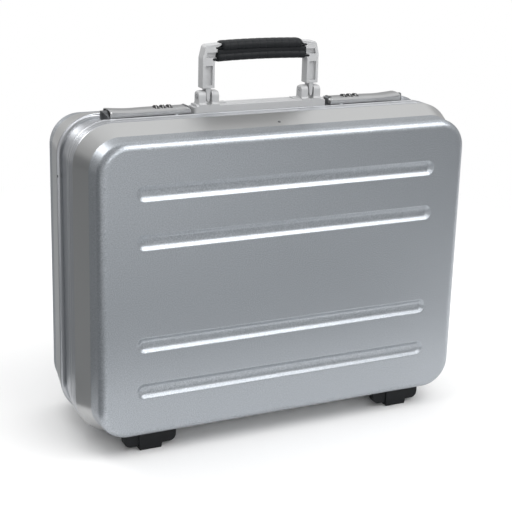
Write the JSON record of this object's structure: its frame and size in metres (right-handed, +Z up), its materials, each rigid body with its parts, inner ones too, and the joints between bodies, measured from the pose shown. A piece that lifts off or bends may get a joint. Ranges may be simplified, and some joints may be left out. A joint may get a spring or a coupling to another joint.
{
  "type": "hard tool case",
  "caption": "Hard tool case of two pressed aluminium shells on hinged extruded frames, with combination latches, a folding carrying handle, lid stays and feet.",
  "frame": {"origin": "Centre of the footprint of the closed case, on the plane the four feet stand on.", "axes": "+X runs along the width of the case, +Y points from its front face to its back face, and +Z points up to the handle."},
  "size_m": [0.47, 0.178, 0.4461],
  "materials": {
    "shell_aluminium": "satin pressed sheet with a fine grained silver finish",
    "frame_aluminium": "anodised extrusion, drawn along its length",
    "seal_rubber": "matt black rubber cord",
    "foot_rubber": "matt black hard rubber",
    "screw_steel": "zinc plated",
    "hinge_steel": "zinc plated sheet steel",
    "stay_steel": "zinc plated strip steel",
    "handle_plastic": "light grey moulded plastic with a satin surface",
    "grip_rubber": "black soft rubber",
    "pin_steel": "ground steel",
    "latch_metal": "satin silver grey metallic coat",
    "hook_steel": "zinc plated",
    "dial_plastic": "black moulded plastic"
  },
  "bodies": {
    "back_half": {"back_shell": "shell_aluminium", "back_frame": "frame_aluminium", "frame_seal": "seal_rubber", "left_back_foot": "foot_rubber", "right_back_foot": "foot_rubber", "back_foot_screws": "screw_steel", "left_hinge_back_leaf": "hinge_steel", "left_hinge_pin": "hinge_steel", "right_hinge_back_leaf": "hinge_steel", "right_hinge_pin": "hinge_steel", "left_stay_stud": "stay_steel", "right_stay_stud": "stay_steel", "handle_base": "handle_plastic", "left_handle_pin": "pin_steel", "right_handle_pin": "pin_steel", "left_latch_base": "latch_metal", "left_latch_pin": "pin_steel", "right_latch_base": "latch_metal", "right_latch_pin": "pin_steel"},
    "front_half": {"front_shell": "shell_aluminium", "front_frame": "frame_aluminium", "left_front_foot": "foot_rubber", "right_front_foot": "foot_rubber", "front_foot_screws": "screw_steel", "left_hinge_front_leaf": "hinge_steel", "right_hinge_front_leaf": "hinge_steel", "left_stay_pivot": "stay_steel", "right_stay_pivot": "stay_steel", "left_latch_catch": "hook_steel", "right_latch_catch": "hook_steel"},
    "handle": {"handle_frame": "handle_plastic", "handle_grip": "grip_rubber"},
    "left_latch": {"left_latch_lever": "latch_metal", "left_latch_hook": "hook_steel", "left_dial_shaft": "pin_steel"},
    "right_latch": {"right_latch_lever": "latch_metal", "right_latch_hook": "hook_steel", "right_dial_shaft": "pin_steel"},
    "left_stay": {"left_stay_arm": "stay_steel"},
    "right_stay": {"right_stay_arm": "stay_steel"},
    "left_dial_1_body": {"left_dial_1": "dial_plastic"},
    "left_dial_2_body": {"left_dial_2": "dial_plastic"},
    "left_dial_3_body": {"left_dial_3": "dial_plastic"},
    "right_dial_1_body": {"right_dial_1": "dial_plastic"},
    "right_dial_2_body": {"right_dial_2": "dial_plastic"},
    "right_dial_3_body": {"right_dial_3": "dial_plastic"}
  },
  "joints": [
    {"name": "lid_swing", "type": "hinge", "parent": "back_half", "child": "front_half", "pos_m": [0, -0.021, 0.0095], "axis": [1, 0, 0], "range_deg": [0, 90]},
    {"name": "handle_swing", "type": "hinge", "parent": "back_half", "child": "handle", "pos_m": [0, 0.0055, 0.3825], "axis": [1, 0, 0], "range_deg": [-85, 85]},
    {"name": "left_latch_lift", "type": "hinge", "parent": "back_half", "child": "left_latch", "pos_m": [-0.091, 0.0055, 0.3706], "axis": [0, 1, 0], "range_deg": [0, 75]},
    {"name": "right_latch_lift", "type": "hinge", "parent": "back_half", "child": "right_latch", "pos_m": [0.091, 0.0055, 0.3706], "axis": [0, -1, 0], "range_deg": [0, 75]},
    {"name": "left_stay_turn", "type": "hinge", "parent": "front_half", "child": "left_stay", "pos_m": [-0.216, -0.028, 0.06708], "axis": [1, 0, 0], "range_deg": [-45, 0]},
    {"name": "right_stay_turn", "type": "hinge", "parent": "front_half", "child": "right_stay", "pos_m": [0.216, -0.028, 0.06708], "axis": [1, 0, 0], "range_deg": [-45, 0]},
    {"name": "left_dial_1_turn", "type": "hinge", "parent": "left_latch", "child": "left_dial_1_body", "pos_m": [-0.126, 0.0055, 0.3709], "axis": [1, 0, 0], "continuous": true},
    {"name": "left_dial_2_turn", "type": "hinge", "parent": "left_latch", "child": "left_dial_2_body", "pos_m": [-0.1182, 0.0055, 0.3709], "axis": [1, 0, 0], "continuous": true},
    {"name": "left_dial_3_turn", "type": "hinge", "parent": "left_latch", "child": "left_dial_3_body", "pos_m": [-0.1104, 0.0055, 0.3709], "axis": [1, 0, 0], "continuous": true},
    {"name": "right_dial_1_turn", "type": "hinge", "parent": "right_latch", "child": "right_dial_1_body", "pos_m": [0.1104, 0.0055, 0.3709], "axis": [1, 0, 0], "continuous": true},
    {"name": "right_dial_2_turn", "type": "hinge", "parent": "right_latch", "child": "right_dial_2_body", "pos_m": [0.1182, 0.0055, 0.3709], "axis": [1, 0, 0], "continuous": true},
    {"name": "right_dial_3_turn", "type": "hinge", "parent": "right_latch", "child": "right_dial_3_body", "pos_m": [0.126, 0.0055, 0.3709], "axis": [1, 0, 0], "continuous": true}
  ],
  "couplings": [
    {"joint": "left_stay_turn", "follows": "lid_swing", "ratio": -0.5},
    {"joint": "right_stay_turn", "follows": "lid_swing", "ratio": -0.5}
  ]
}
